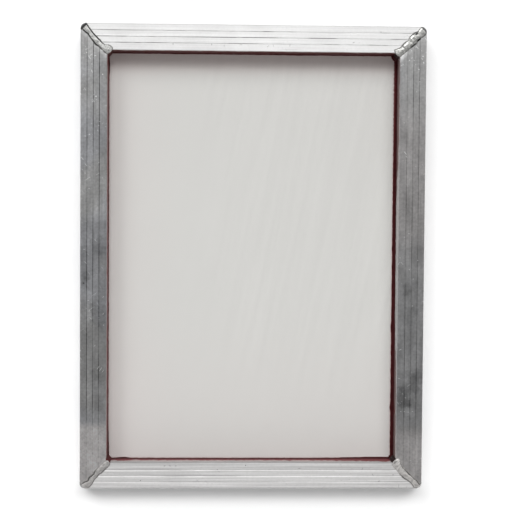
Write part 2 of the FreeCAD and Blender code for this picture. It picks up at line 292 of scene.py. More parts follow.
RAILS["left"] = dict(
    streaks=0.05, mottle=0.1, blue=0.55, groove=1, frost=0.45, lip=0.86,
    lands=(0.95, 1, 0.97, 0.94),
    warm=[(-420, -283, 20, 1)],
    patches=[
        (-262, 70, 34, 26, 80, 0.09), (-258, 20, 40, 30, 80, -0.1), (-283, -33, 26, 12, 70, -0.09),
        (-270, -50, 44, 22, 75, 0.11), (-262, -96, 62, 26, 85, -0.12), (-281, -96, 40, 12, 90, 0.06),
        (-262, -200, 24, 30, 0, -0.1), (-268, -235, 30, 16, 60, 0.05), (-264, -252, 26, 28, 20, -0.08),
        (-274, 150, 40, 24, 70, 0.07), (-262, 215, 60, 20, 90, -0.05), (-280, 290, 50, 14, 90, -0.05),
    ],
    zones=[
        (133, 350, 4, 21, 1.05), (40, 133, 50, 50, 1.06), (133, 420, 5, 50, 0.93), (-29, 22, 9, 50, 0.88),
        (-160, -110, 40, 50, 0.9), (-283, -200, 40, 50, 1.1), (-420, -284, 20, 50, 1.55),
    ],
    marks=[
        (-284, -35, 9, 7, 80, -0.1), (-283, -9, 9, 1, -45, 0.5), (-277, -27, 8, 1, -60, 0.4),
        (-286, -44, 4, 3, 0, -0.3), (-253, -67, 5, 1.2, 60, 0.6), (-253, -96, 5, 1.4, 70, 0.6),
        (-252, -115, 4, 1.2, 90, 0.5), (-267, -150, 5, 1.3, 50, 0.35), (-261, -187, 10, 1.2, 55, 0.7),
        (-257, -190, 11, 1.2, 55, 0.8), (-253, -193, 9, 1.1, 55, 0.7), (-282, 344, 3, 2.2, 40, 0.5),
        (-277, 336, 9, 1.4, -58, 0.7), (-273, 325, 3, 1.8, 0, 0.4), (-273, 313, 8, 1.6, -72, 0.5),
        (-255, 308, 3, 2.2, 0, 0.6), (-267, 339, 3.5, 1.4, 0, 0.5), (-266, 271, 3, 2.6, 0, 1.3),
        (-277, 207, 2.5, 2.2, 0, 0.5), (-261, 160, 2.2, 1.8, 0, 0.4), (-255, 134, 2.2, 1.8, 0, 0.4),
    ],
    wall=([(50, 36), (220, 38)], 8, 0.85, (0.21, 0.115, 0.105)),
)
RAILS["right"] = dict(
    streaks=0.06, mottle=0.09, blue=0.2, groove=0.55, frost=0.6, lip=0.98,
    lands=(0.91, 0.89, 0.93, 0.9),
    warm=[(-420, -290, 20, 1), (20, 250, 90, 0.9)],
    patches=[
        (259, -236, 46, 24, 95, -0.19), (278, -212, 40, 26, 40, -0.15), (270, -196, 44, 20, 0, -0.08),
        (268, -262, 26, 14, 0, 0.1), (262, -54, 30, 12, 80, -0.1), (270, -96, 40, 26, 70, -0.09),
        (284, -70, 40, 10, 90, 0.06), (260, -150, 44, 10, 90, 0.08), (283, -140, 40, 12, 90, 0.08),
        (270, 240, 40, 20, 90, 0.05), (262, 90, 50, 14, 90, -0.06), (282, 130, 60, 12, 90, 0.05),
        (285, -379, 18, 5, 135, -0.08),
    ],
    zones=[
        (19, 330, 4, 50, 1.07), (-262, -222, 34, 50, 0.9), (-420, -299, 26, 50, 1.36),
        (-150, -110, 40, 24, 0.92), (180, 420, 60, 50, 0.95),
    ],
    marks=[
        (263, 337, 4, 1.4, 60, 0.5), (267, 341, 5, 1.4, 10, 0.5), (271, 337, 4, 1.4, -60, 0.4),
        (286, 344, 3, 2.2, 0, 0.7), (287, 334, 3, 2.2, 0, 0.7), (281, 301, 2.5, 2, 0, 0.5),
        (276, 284, 2.5, 1.8, 0, 0.4), (281, -2, 3, 2, 0, 0.5), (267, -18, 2.5, 1.8, 0, 0.4),
        (274, -34, 3, 1.6, 40, 0.4), (273, -80, 3, 1.8, 0, 0.5), (253, -155, 6, 1.6, 25, 1.1),
        (258, 180, 10, 1.3, -50, 0.7), (260, 174, 5, 1.2, -50, 0.5), (255, -261, 3, 1.6, 0, 0.5),
        (261, -261, 2.5, 1.6, 0, 0.5), (268, -262, 4, 1.4, 5, 0.5), (275, -261, 3, 1.6, 0, 0.5),
    ],
    wall=([(-200, 34), (-100, 10), (50, 8), (220, 38)], 9, 0.85, (0.115, 0.055, 0.05)),
)


def seam_frost(s, inset, stains):
    """The frosted metal beside the welded seams, most of it at the back."""
    from_x = s.minus(OUTER_X, s.size(s.x))
    from_y = s.minus(OUTER_Y, s.size(s.y))
    from_seam = s.size(s.minus(from_x, from_y))
    frosted = s.times(s.fade(from_seam, 22, 7), s.ramp(stains, 0.35, 0.6))
    at_back = s.ramp(s.y, 0.0, 0.1, 0.25, 1.0)
    return s.times(frosted, at_back, s.ramp(inset, 0.02, 0.04, 0.5, 1.3))


def wall_smear(s, inset, wall):
    """How much adhesive is smeared up the wall of the well, and its colour."""
    heights, soft, strength, colour = wall
    height = heights[0][1] * MM
    for (start, before), (end, after) in zip(heights, heights[1:]):
        height = s.add(height, s.ramp(s.y, start * MM, end * MM, 0.0, (after - before) * MM))
    on_wall = s.times(
        s.ramp(inset, RAIL_WIDTH - 0.25 * MM, RAIL_WIDTH - 0.05 * MM),
        s.ramp(s.z, RAIL_TOP - 0.2 * MM, RAIL_TOP - 0.9 * MM),
    )
    ragged = s.noise((70, 70, 160), detail=4, roughness=0.6)
    top = s.add(s.z, s.ramp(ragged, 0.25, 0.75, -6 * MM, 6 * MM))
    smear = s.times(on_wall, s.ramp(s.minus(top, height), 0.0, -soft * MM), strength)
    # The smear darkens towards the wall's foot: partly thicker adhesive, partly painted shade in the
    # crease.
    return smear, s.shade(colour, s.fade(s.z, 2, 30, 0.6, 1.3))


def rail_material(side):
    """Mill-finish aluminium extrusion: die lines along the rail, grooves darkened by dirt and painted
    shade, painted highlights beside them, stains and knocks, and painted shade on the edges and walls.
    """
    look = {**PLAIN_RAIL, **RAILS[side]}
    s = Shader(f"rail_{side}")
    runs_along_x = side in ("back", "front")
    along, cross = (s.x, s.y) if runs_along_x else (s.y, s.x)
    outer = OUTER_Y if runs_along_x else OUTER_X
    inset = s.minus(outer, s.size(cross))

    def lined(fine, coarse):
        """Noise scales that are fine across the rail and coarse along it."""
        return (coarse, fine, fine) if runs_along_x else (fine, coarse, fine)

    streaks = s.noise(lined(520, 3.5), detail=4, roughness=0.7)
    bands = s.noise(lined(230, 2.0), detail=2, roughness=0.6)
    stains = s.noise(lined(55, 30), detail=5, roughness=0.62)
    clouds = s.noise(14, detail=3, roughness=0.55)
    blotches = s.noise(210, detail=3, roughness=0.6)

    # The four lands between the grooves, the grooves' dirt and painted shade, and the painted highlights on
    # the slopes that catch the light.
    tone = look["lands"][0]
    for groove, before, after in zip(GROOVES, look["lands"], look["lands"][1:]):
        edge = s.ramp(inset, groove - 0.3 * MM, groove + 0.3 * MM, 0.0, after - before)
        tone = s.add(tone, edge)
    fade = s.ramp(s.noise(lined(90, 7), detail=2), 0.32, 0.60, 0.30, 1.0)
    if look["dashes"]:
        dashes = s.noise(lined(120, 26), detail=2)
        fade = s.times(fade, s.ramp(dashes, 0.42, 0.62, 0.35, look["dashes"]))
    groove_dirt_and_shade = s.add(*[s.line(inset, groove, GROOVE_WIDTH * 0.8) for groove in GROOVES])
    worn = 1.0 if runs_along_x else s.ramp(s.y, -0.25, -0.30, 1.0, 0.45)
    groove_dirt_and_shade = s.times(groove_dirt_and_shade, fade, worn, look["groove"])
    slopes = [s.line(inset, groove - 1.15 * MM, 1.0 * MM) for groove in GROOVES]
    glints = s.add(*[s.times(slope, glint) for slope, glint in zip(slopes, look["glint"])])
    glints = s.times(glints, s.ramp(clouds, 0.3, 0.6, 0.5, 1.0))

    contrast = look["streaks"]
    banding = 0.04 if runs_along_x else 0.02
    tone = s.add(tone, s.around(streaks, -contrast, contrast))
    tone = s.add(tone, s.around(bands, -banding, banding))
    mottle = look["mottle"]
    uneven = 0.02 if runs_along_x else 0.065
    tone = s.times(tone, s.around(stains, 1 - uneven, 1 + uneven))
    tone = s.times(tone, s.around(clouds, 1 - uneven, 1 + uneven))
    tone = s.times(tone, s.around(blotches, 1 - mottle, 1 + mottle))
    on_top = s.ramp(s.z, RAIL_TOP - 0.7 * MM, RAIL_TOP - 0.2 * MM)
    # Zones: partly real stains, partly painted light where the rail reflects more or less; fainter on
    # walls.
    fade_down = s.ramp(s.z, RAIL_TOP - 12 * MM, RAIL_TOP - 0.5 * MM, 0.2, 1.0)
    for start, end, soft, reach, level in look["zones"]:
        wavering = s.add(along, s.ramp(stains, 0.2, 0.8, -4 * MM, 4 * MM))
        zone = s.times(s.band(wavering, start * MM, end * MM, soft * MM), fade_down)
        if reach < RAIL_WIDTH / MM:
            zone = s.times(zone, s.ramp(inset, (reach + 1) * MM, reach * MM))
        tone = s.times(tone, s.add(1.0, s.times(zone, level - 1)))

    frosted = seam_frost(s, inset, stains)
    tone = s.add(tone, s.times(frosted, look["frost"]))

    # Ragged patches on the upper face.
    ragged_point = s.ragged(75, 0.030)
    for x, y, length, width, angle, level in look["patches"]:
        patch = s.stroke(x, y, length * PATCH_SPREAD, width * PATCH_SPREAD, angle, ragged_point)
        tone = s.add(tone, s.times(patch, on_top, level * PATCH_STRENGTH))

    # Knocks: many faint short scratches, and the marks that stand out.
    layers = [
        s.scratches(0.011, 0.9, 0.007, 0.0011, 0.20),
        s.scratches(0.017, -0.6, 0.012, 0.0009, 0.15),
        s.scratches(0.006, 0.2, 0.0026, 0.0016, 0.15),
    ]
    knocks = s.times(s.add(*layers), s.ramp(clouds, 0.46, 0.62), on_top)
    tone = s.add(tone, s.times(knocks, look["knocks"]))
    marks = [s.times(s.stroke(*mark[:5]), mark[5] * MARK_STRENGTH) for mark in look["marks"]]
    tone = s.add(tone, s.times(s.add(glints, s.times(groove_dirt_and_shade, -1.0), *marks), on_top))
    tone = s.math("MAXIMUM", tone, 0.05)

    blue = s.times(s.ramp(s.noise(9, detail=2), 0.42, 0.60), look["blue"])
    colour = s.mix(blue, RAIL_COLOUR, BLUE_RAIL_COLOUR)
    for start, end, soft, strength in look["warm"]:
        warm = s.times(s.band(along, start * MM, end * MM, soft * MM), strength)
        colour = s.mix(warm, colour, WARM_RAIL_COLOUR)
    colour = s.shade(colour, tone)

    smear, smear_colour = wall_smear(s, inset, look["wall"])
    # Painted shade: the inner and outer edges, and the walls below them, are darker.
    lip = s.ramp(inset, RAIL_WIDTH - 1.6 * MM, RAIL_WIDTH - 0.4 * MM, 1.0, look["lip"])
    lip = s.times(lip, s.fade(inset, 0.3, 2.0, look["edge"], 1.0))
    s.set("Base Color", s.mix(smear, s.shade(colour, lip), smear_colour))
    s.set("Metallic", s.minus(1.0, smear))
    s.set("Specular IOR Level", 0.15)
    s.set("Anisotropic", 0.75)
    s.set("Roughness", s.add(s.ramp(stains, 0.25, 0.75, 0.50, 0.60), s.times(frosted, 0.06)))

    # The die lines scatter light across themselves, so the tangent lies across them on every face.
    line = (1, 0, 0) if runs_along_x else (0, 1, 0)
    normal = s.node("NewGeometry").outputs["Normal"]
    s.set("Tangent", s.vector("CROSS_PRODUCT", normal, line))
    s.bump(streaks, 0.02 * MM)
    s.bump(bands, 0.05 * MM)
    s.bump(knocks, 0.04 * MM)
    return s.material


# Other materials


def weld_material(name, colour, rough):
    """A weld bead: dull cast metal with a fine crust, painted shade in its hollows, and the tones that
    the mesh's own attribute gives: dark outlines and blobs, and painted highlights where it is negative.
    """
    s = Shader(name)
    crust = s.noise(900, detail=4, roughness=0.6)
    patches = s.noise(260, detail=3)
    # Painted shade: the bead is darker in its hollows.
    hollow = s.ramp(s.node("NewGeometry").outputs["Pointiness"], 0.50, 0.46)
    # Darker along the outlines and in blobs, and lighter where negative: painted highlights.
    darkness = s.node("Attribute", attribute_name="darkness").outputs["Fac"]
    darkness = s.times(darkness, s.ramp(crust, 0.25, 0.6, 0.75, 1.0))
    tone = s.times(s.around(patches, 0.82, 1.12), s.around(crust, 0.92, 1.05))
    brightness = s.math("MAXIMUM", s.add(1.0, s.times(darkness, -0.93)), 0.05)
    tone = s.times(tone, s.add(1.0, s.times(hollow, -0.45)), brightness)
    s.set("Base Color", s.shade(colour, tone))
    s.set("Metallic", 1)
    s.set("Roughness", s.add(s.around(patches, rough - 0.06, rough + 0.06), s.times(darkness, 0.2)))
    s.bump(crust, 0.06 * MM)
    return s.material


def ground_material(name, colour, top_colour):
    """Metal ground back with a coarse disc: scored in one sweep, and with a colour of its own at its top.
    """
    s = Shader(name)
    sweep = s.noise((300, 300, 2600), detail=3, roughness=0.6)
    patches = s.noise(120, detail=2)
    tone = s.times(s.around(sweep, 0.8, 1.1), s.around(patches, 0.8, 1.15))
    colour = s.mix(s.ramp(s.z, RAIL_TOP - 12 * MM, RAIL_TOP - 5 * MM), colour, top_colour)
    s.set("Base Color", s.shade(colour, tone))
    s.set("Metallic", 1)
    s.set("Roughness", s.around(sweep, 0.36, 0.5))
    s.bump(sweep, 0.05 * MM)
    return s.material


ADHESIVE_COLOUR = (0.038, 0.006, 0.007)
FRINGE_COLOUR = (0.12, 0.021, 0.024)


def adhesive_material(name, skin_colour):
    """Dark red adhesive: redder where it thins out over the mesh, with a thin skin up the wall."""
    s = Shader(f"adhesive_{name}")
    patches = s.noise(220, detail=3)
    fringe = s.ramp(s.z, MESH_TOP + 0.7 * MM, MESH_TOP + 0.1 * MM)
    skin = s.fade(s.z, 3, 13)
    colour = s.mix(s.times(fringe, 0.8), ADHESIVE_COLOUR, FRINGE_COLOUR)
    colour = s.mix(skin, colour, skin_colour)
    s.set("Base Color", s.shade(colour, s.around(patches, 0.8, 1.25)))
    s.set("Roughness", s.around(patches, 0.35, 0.55))
    s.set("Specular IOR Level", 0.07)
    s.bump(s.noise(500, detail=2), 0.08 * MM)
    return s.material


THREAD_PITCH = 10 * MM / 43  # 43 threads to the centimetre

# The cloth's colours: its own drifts from darker to lighter and with the place, and the rest lie over it.
CLOTH = {
    "darker": (0.668, 0.663, 0.640),
    "lighter": (0.690, 0.685, 0.662),
    "front_left": (0.700, 0.660, 0.644),
    # Painted light: red light bounced off the adhesive into the back rail's shadow.
    "near_back": (0.705, 0.625, 0.605),
    "thread": (0.72, 0.713, 0.692),
    "stained": (0.68, 0.53, 0.52),
    "soaked": (0.10, 0.016, 0.018),
    "speck": (0.20, 0.18, 0.17),
}

# Specks on the mesh: place, size in mm and strength.
MESH_SPECKS = [
    (-228, -306, 3, 0.35), (-84, -248, 10, 0.06), (-118, -286, 10, 0.06), (30, -292, 12, 0.07),
    (-48, -252, 8, 0.04),
]


def mesh_material():
    """Plain-woven polyester: white threads with clear gaps, stained with adhesive along the rails."""
    s = Shader("mesh_fabric")
    threads = []
    for place in (s.x, s.y):
        wave = s.math("COSINE", s.times(place, 2 * math.pi / THREAD_PITCH))
        threads.append(s.math("MULTIPLY_ADD", wave, 0.5, 0.5))
    weave = s.math("MAXIMUM", *threads)
    thread = s.ramp(weave, 0.45, 0.75)

    # Distance in from the adhesive's mean edge along each rail: negative under it.
    towards = {"left": s.times(s.x, -1.0), "right": s.x, "front": s.times(s.y, -1.0), "back": s.y}
    gap = {}
    for side, place in towards.items():
        wall = INNER_X if side in ("left", "right") else INNER_Y
        gap[side] = s.minus(wall - STRIPS[side]["reach"] * MM, place)
    ragged = s.math("MULTIPLY_ADD", s.noise(260, detail=3), 3 * MM, s.chain("MINIMUM", gap.values()))
    soaked = s.fade(ragged, 1.9, 1.1)
    stained = s.fade(ragged, 5.5, 1.6, 0.0, 0.45)

    cloth = s.mix(s.noise((9, 7, 9), detail=2), CLOTH["darker"], CLOTH["lighter"])
    front_left = s.add(s.ramp(s.x, -0.10, -0.26), s.ramp(s.y, -0.05, -0.36))
    cloth = s.mix(s.times(front_left, 0.5), cloth, CLOTH["front_left"])
    # Painted light: a red tint near the back rail for light bounced off the adhesive.
    near_back = s.ramp(s.y, INNER_Y - 48 * MM, INNER_Y - 8 * MM)
    cloth = s.mix(s.times(near_back, 0.8), cloth, CLOTH["near_back"])

    # The cloth is painted lighter beside the rails: painted light that thins the shade the rails cast on
    # it.
    brightness = s.add(
        s.fade(gap["left"], 22, 2, 0.0, 0.17),
        s.fade(gap["right"], 38, 8, 0.0, 0.08),
        s.fade(gap["back"], 45, 12, 0.0, 0.13),
    )
    cloth = s.shade(cloth, s.add(1.0, brightness))
    cloth = s.mix(s.times(thread, 0.25), cloth, CLOTH["thread"])
    cloth = s.mix(stained, cloth, CLOTH["stained"])
    cloth = s.mix(soaked, cloth, CLOTH["soaked"])
    for x, y, size, strength in MESH_SPECKS:
        cloth = s.mix(s.times(s.stroke(x, y, size, size * 0.8, 0), strength), cloth, CLOTH["speck"])

    # The tension leaves faint slanting streaks over the right of the cloth.
    slack = s.noise((95, 2.6, 1), detail=2, roughness=0.6, point=s.turned(0.20))
    place = s.times(s.ramp(s.x, -0.25, 0.05), s.ramp(s.y, -0.36, -0.08))
    cloth = s.shade(cloth, s.add(1.0, s.times(place, s.around(slack, -0.024, 0.017))))
    s.set("Base Color", cloth)
    s.set("Roughness", s.ramp(soaked, 0.0, 1.0, 0.75, 0.35))
    s.bump(weave, 0.05 * MM, 0.5)
    opening = s.times(s.ramp(thread, 0.0, 1.0, 0.45, 0.10), s.minus(1.0, soaked))
    s.set("Alpha", s.minus(1.0, opening))
    return s.material


def floor_material():
    """A plain pale floor."""
    s = Shader("floor")
    speckle = s.noise(40, detail=3)
    s.set("Base Color", s.mix(speckle, (0.95, 0.95, 0.95), (0.97, 0.97, 0.97)))
    s.set("Roughness", 0.85)
    s.set("Specular IOR Level", 0.2)
    return s.material


# Meshes


def add_object(name, data):
    """A new object, linked into the scene."""
    item = bpy.data.objects.new(name, data)
    scene.collection.objects.link(item)
    return item


def loft(name, rings, material, darkness=None):
    """A closed piece through closed rings of points, with its two ends capped. It rides on the frame."""
    rings = np.asarray(rings, float)
    count, size = rings.shape[:2]
    faces = [list(range(size))[::-1], [(count - 1) * size + i for i in range(size)]]
    for ring in range(count - 1):
        base = ring * size
        for i in range(size):
            after = (i + 1) % size
            faces.append([base + i, base + after, base + size + after, base + size + i])
    mesh = bpy.data.meshes.new(name)
    mesh.from_pydata([tuple(point) for point in rings.reshape(-1, 3)], [], faces)
    mesh.update()
    mesh.materials.append(material)
    if darkness is not None:
        attribute = mesh.attributes.new("darkness", "FLOAT", "POINT")
        attribute.data.foreach_set("value", np.asarray(darkness, "f").ravel())
    if enclosed_volume(mesh) < 0:
        mesh.flip_normals()
    mesh.shade_smooth()
    mesh.set_sharp_from_angle(angle=math.radians(50))
    piece = add_object(name, mesh)
    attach(piece, "root")
    return piece


def enclosed_volume(mesh):
    """Six times the signed volume of a closed mesh: negative where its faces point inwards."""
    mesh.calc_loop_triangles()
    points = np.array([vertex.co for vertex in mesh.vertices])
    triangles = np.array([triangle.vertices for triangle in mesh.loop_triangles])
    a, b, c = points[triangles[:, 0]], points[triangles[:, 1]], points[triangles[:, 2]]
    return np.einsum("ij,ij->i", a, np.cross(b, c)).sum()


def wobble(x, y, seed):
    """Smooth noise from about -1 to 1, which each seed makes different."""
    return noise.noise(Vector((x, y, seed)))


def smooth(value, start, end):
    """0 before start, 1 after end, and smooth between them."""
    share = min(max((value - start) / (end - start), 0.0), 1.0)
    return share * share * (3 - 2 * share)


def curve(points, place):
    """The value at a place of the smooth curve through given (place, value) points."""
    places = [point[0] for point in points]
    values = [point[1] for point in points]
    if place <= places[0]:
        return values[0]
    if place >= places[-1]:
        return values[-1]
    i = max(k for k in range(len(places) - 1) if places[k] <= place)
    before, after = max(i - 1, 0), min(i + 2, len(places) - 1)
    gap = places[i + 1] - places[i]
    slope_in = (values[i + 1] - values[before]) / (places[i + 1] - places[before]) * gap
    slope_out = (values[after] - values[i]) / (places[after] - places[i]) * gap
    share = (place - places[i]) / gap
    rise = values[i + 1] - values[i]
    bend = (slope_in + slope_out - 2 * rise) * share + 3 * rise - 2 * slope_in - slope_out
    return values[i] + share * (slope_in + share * bend)


def corner_frame(corner):
    """The matrix to the frame's axes from a corner's, where X runs inwards along the seam."""
    along_y = 1 if corner.startswith("back") else -1
    along_x = 1 if corner.endswith("right") else -1
    inwards = Vector((-along_x, -along_y, 0)).normalized()
    sideways = Vector((-inwards.y, inwards.x, 0))
    turn = Matrix((inwards, sideways, Vector((0, 0, 1)))).transposed().to_4x4()
    return Matrix.Translation((OUTER_X * along_x, OUTER_Y * along_y, 0)) @ turn


def moved(matrix, rings):
    """Points in millimetres and in some axes, taken to the frame's in metres."""
    rings = np.asarray(rings, float) * MM
    matrix = np.array(matrix)
    return rings @ matrix[:3, :3].T + matrix[:3, 3]


def corner_piece(kind, node, corner, rings, material, darkness=None):
    """A piece given in a corner's own axes, shown in place of the CAD node there."""
    piece = loft(f"{kind}_{corner}", moved(corner_frame(corner), rings), material, darkness)
    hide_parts(f"{node}_{corner}")


# Welds

TOP = RAIL_TOP / MM
BOTTOM = RAIL_BOTTOM / MM
SEAM = SEAM_LENGTH / MM

# How each bead was laid, in mm, at places along the seam from the outer corner: its edges on the minus and
# the plus side, its crown's height, and its ripples' height and pitch. "flat" is how flat it is on top: the
# lower, the flatter. "lumps" and "grain" are the heights of its coarse and fine unevenness. Then come how
# dark the outline is along each side, and how dark the outer end is and how far that reaches. A patch is
# its place and side, half its length and width, and how much darker it is; a negative one is lighter,
# mostly a painted highlight on the bead.
BEADS = {}
BEADS["back_left"] = dict(
    pitch=3.2, flat=0.33, lumps=0.34, grain=0.1,
    outline=[
        (6, -4.6, 4.8), (9.5, -4.6, 4.8), (12, -4.4, 4.2), (18, -3.8, 3.1), (22, -3, 2.4),
        (25, -4, 2.2), (30, -4.9, 1.8), (36, -5.6, 1.7), (43, -6.4, 1.8), (48, -5.5, 1.7),
        (54, -5.3, 2.6), (58, -5.2, 6.2), (63, -5.2, 8.3), (67, -4.4, 8), (69, -3, 7),
    ],
    crown=[(6, 0.5), (14, 0.8), (40, 0.8), (54, 1), (62, 1.3), (69, 0.9)],
    ripple=[(6, 0.06), (20, 0.04), (50, 0.05), (58, 0.15), (69, 0.15)],
    darkness=(
        [
            (9, 0.9), (24, 1), (30, 0.8), (37, 1), (44, 1), (50, 0.8), (56, 0.6), (58, 0.2),
            (62, 0.7), (69, 0.3),
        ],
        [(9, 0.9), (12, 0.95), (40, 1), (50, 0.75), (55, 0.35), (61, 0.5), (69, 0.45)],
    ),
    tip_darkness=(1, 9.6),
    patches=[
        (66, 1.2, 1.8, 2, 0.5), (57, 1.5, 5, 1.5, 0.22), (20, 0.5, 5, 1, 0.2),
        (43, -1.5, 4, 1.5, 0.15), (60, 5, 5, 3, 0.14), (60, -2.5, 7, 2.5, 0.1),
        (12.5, 2, 3, 0.7, 0.4), (12, -1, 3, 0.6, 0.3), (31, -2, 4, 1.2, 0.12),
        (28, -0.4, 3, 0.8, 0.12), (42.5, -0.8, 3.5, 2.4, 0.28), (30.5, -1.4, 2.2, 2, 0.15),
        (17, 0.4, 2.5, 1.6, 0.18), (50, -0.6, 3, 1.6, 0.14),
    ],
)
BEADS["back_right"] = dict(
    pitch=5.6, flat=0.4, lumps=0.75, grain=0.16,
    outline=[
        (6, -5, 5.8), (11, -5.4, 7.2), (17, -4.5, 6.6), (22, -6.5, 5.5), (28, -7.3, 5.6),
        (32, -7.6, 6.9), (38, -5.6, 5.8), (44, -6.4, 5.4), (51, -6.6, 5), (56, -6, 4.6),
        (62, -8.2, 4), (67, -10, 3.4), (69, -8.5, 2),
    ],
    crown=[(6, 0.9), (12, 1.7), (22, 1.2), (30, 1.9), (40, 1.3), (50, 1.8), (62, 1.5), (69, 1)],
    ripple=[(6, 0.1), (30, 0.1), (69, 0.12)],
    darkness=(
        [
            (8, 0.2), (15, 0.3), (18, 0.8), (26, 0.6), (36, 0.3), (44, 0.5), (52, 0.5), (60, 0.4),
            (69, 0.4),
        ],
        [
            (8, 0.3), (11, 0.6), (14, 0.3), (17, 0.6), (20, 0.5), (22, 1), (28, 1), (31, 0.4),
            (34, 0.8), (38, 1), (42, 0.9), (46, 0.4), (50, 0.4), (54, 0.2), (69, 0.3),
        ],
    ),
    tip_darkness=(0.75, 7.8),
    patches=[
        (20.5, -4, 4.5, 2.6, 1), (25, -6.5, 3.5, 1.5, 0.7), (12, -4.2, 4.5, 1.6, -0.9),
        (31, -5.2, 5.5, 2, -1), (49, -3.3, 10, 1.6, -1.1), (62, -6.4, 2.6, 2.2, -0.5),
        (65, -4, 1.5, 1.3, 0.9), (11, 2, 4, 3, 0.2), (30, 0.8, 5, 2, 0.25), (43, 1.5, 6, 2.5, 0.25),
        (58, 0.5, 6, 3, 0.15), (37, -4.6, 2.4, 3, 0.3), (14, 6.2, 5, 1.6, -0.5),
        (31.5, 6.2, 2, 1.4, -0.4), (59, 3.8, 9, 1.6, -0.5), (15, -0.5, 2, 1.6, 0.2),
    ],
)
BEADS["front_left"] = dict(
    pitch=3, flat=0.33, lumps=0.18, grain=0.04,
    outline=[
        (6, -4.8, 3.4), (10, -8.6, 2), (14, -9.2, 1), (18, -9.2, -1), (20.5, -8.8, -1.2),
        (24, -7.7, 0.7), (29, -6.3, 0.1), (35, -6.3, 0), (38, -5.8, 1.3), (41, -5.4, 2.1),
        (45, -6.9, 2), (52, -6.8, 1.6), (60, -7.2, 1.8), (65, -6.6, 1.2), (67, -5.6, 0.3),
    ],
    crown=[(6, 0.3), (12, 0.6), (40, 0.6), (60, 0.5), (67, 0.3)],
    ripple=[(6, 0.12), (16, 0.1), (26, 0.04), (67, 0.03)],
    darkness=(
        [(6, 0.3), (20, 0.4), (30, 0.5), (45, 0.6), (60, 0.4), (67, 0.4)],
        [(6, 0.7), (20, 0.9), (30, 0.9), (38, 0.8), (42, 0.45), (48, 0.12), (67, 0.1)],
    ),
    tip_darkness=(0.45, 6.6),
    patches=[
        (15, -7, 6, 2.6, -0.35), (45, -3, 14, 3, 0.12), (11, -2, 3, 3, 0.15), (26, -3, 4, 2, -0.1),
        (17, -3, 4, 2.4, 0.16), (22, -6, 3, 1.4, 0.18), (55, -3, 6, 3, 0.1),
    ],
)
BEADS["front_right"] = dict(
    pitch=3.6, flat=0.3, lumps=0.26, grain=0.09,
    outline=[
        (6.4, -1, 1), (8, -1.9, 4), (10.7, -2.4, 7), (14.7, -2.8, 6.2), (17, -2.9, 5.8),
        (20, -2, 5.5), (28, -2.2, 6.6), (33, -1.6, 8), (39, -1.8, 8.4), (44, -1.9, 8.8),
        (50, -2.2, 8), (55, -4.2, 7.8), (60, -7.2, 7.6), (64, -7.6, 6.8), (67, -6, 5),
    ],
    crown=[(6.4, 0.4), (9, 0.8), (20, 0.9), (38, 0.8), (56, 0.9), (67, 0.7)],
    ripple=[(6, 0), (38, 0.02), (48, 0.06), (60, 0.08), (67, 0.08)],
    darkness=(
        [
            (7, 0.8), (20, 0.7), (28, 0.6), (32, 1), (38, 0.8), (45, 0.5), (55, 0.4), (60, 0.2),
            (67, 0.2),
        ],
        [(7, 0.5), (20, 0.6), (34, 0.8), (38, 0.7), (43, 0.4), (47, 0.1), (67, 0.1)],
    ),
    tip_darkness=(0.45, 6.8),
    patches=[
        (61.5, -2.4, 1.6, 1.4, -1.2), (59, -5.6, 6, 2.4, -0.25), (64.5, 1, 2.2, 5, 0.55),
        (53, 4, 6, 4, -0.2), (51, -1.6, 3, 1, 0.25), (15, 2.4, 6, 2, -0.1), (33, 3, 5, 2, 0.08),
    ],
)
SKIRT = 2.3  # how far a bead's dark outline spreads on to the rail
SKIRT_HEIGHTS = (0.035, 0.025, -0.02)  # over the rail's face, from the bead outwards
OPENING = 0.9  # how far from its outer end a bead is fully open
ROUNDING = 2.6  # how far from its inner end a bead starts to close
CLOSED = 0.6  # how far past the last place of its outline a bead is closed
MESHED = 0.58  # how far past that place its mesh ends, just short of closing


def bead_outline(bead, place):
    """A bead's edges on the minus and plus side, closing round at its two ends."""
    low = curve([(point[0], point[1]) for point in bead["outline"]], place)
    high = curve([(point[0], point[2]) for point in bead["outline"]], place)
    end = bead["outline"][-1][0] + CLOSED
    closing = max((place - end + ROUNDING) / ROUNDING, 0.0)
    opening = max((FACET_END + OPENING - place) / OPENING, 0.0)
    width = math.sqrt(max(1 - min(closing, 1) ** 2, 0.0))
    width *= math.sqrt(max(1 - 0.7 * min(opening, 1) ** 2, 0.0))
    middle, half = (low + high) / 2, max((high - low) / 2 * width, 0.3)
    return middle - half, middle + half


def bead_height(bead, place, side, low, high, seed):
    """Height of a bead over the rail's face inside its outline."""
    share = (2 * side - low - high) / (high - low)
    dome = max(1 - share * share, 0.0) ** bead["flat"]
    phase = 2 * math.pi * (place + 1.8 * share * share) / bead["pitch"] + 2 * wobble(place / 9, 0, seed)
    ripple = curve(bead["ripple"], place)
    lump = bead["lumps"] * wobble(place / 6.5, side / 5, seed + 9)
    grain = bead["grain"] * wobble(place / 1.4, side / 1.4, seed + 5)
    rough = ripple * math.cos(phase) + lump + grain
    return max(0.04 + curve(bead["crown"], place) * dome + rough * dome**0.5, 0.02)


def bead_patches(bead, place, side):
    """How much darker a bead's patches make it at a place and side; painted highlights make it lighter."""
    dark = 0.0
    for at, across, half_length, half_width, level in bead["patches"]:
        away = math.hypot((place - at) / half_length, (side - across) / half_width)
        dark += level * smooth(away, 1.0, 0.35)
    return dark


def bead_skirt(edge, level, place, limit, half, seed):
    """The skirt from a bead's edge down on to the rail: how far out, how high and how dark it is."""
    spread = SKIRT * (0.45 + 0.55 * level) * (1 + 0.3 * wobble(place / 2, 7, seed))
    near = min(edge + 0.55 * spread, limit - 0.03)
    skirt = min(edge + spread, limit)
    outer = min(max(skirt + 0.05, half), limit + 0.02)
    return zip((near, skirt, outer), SKIRT_HEIGHTS, (level, 0.25 * level, 0.0))


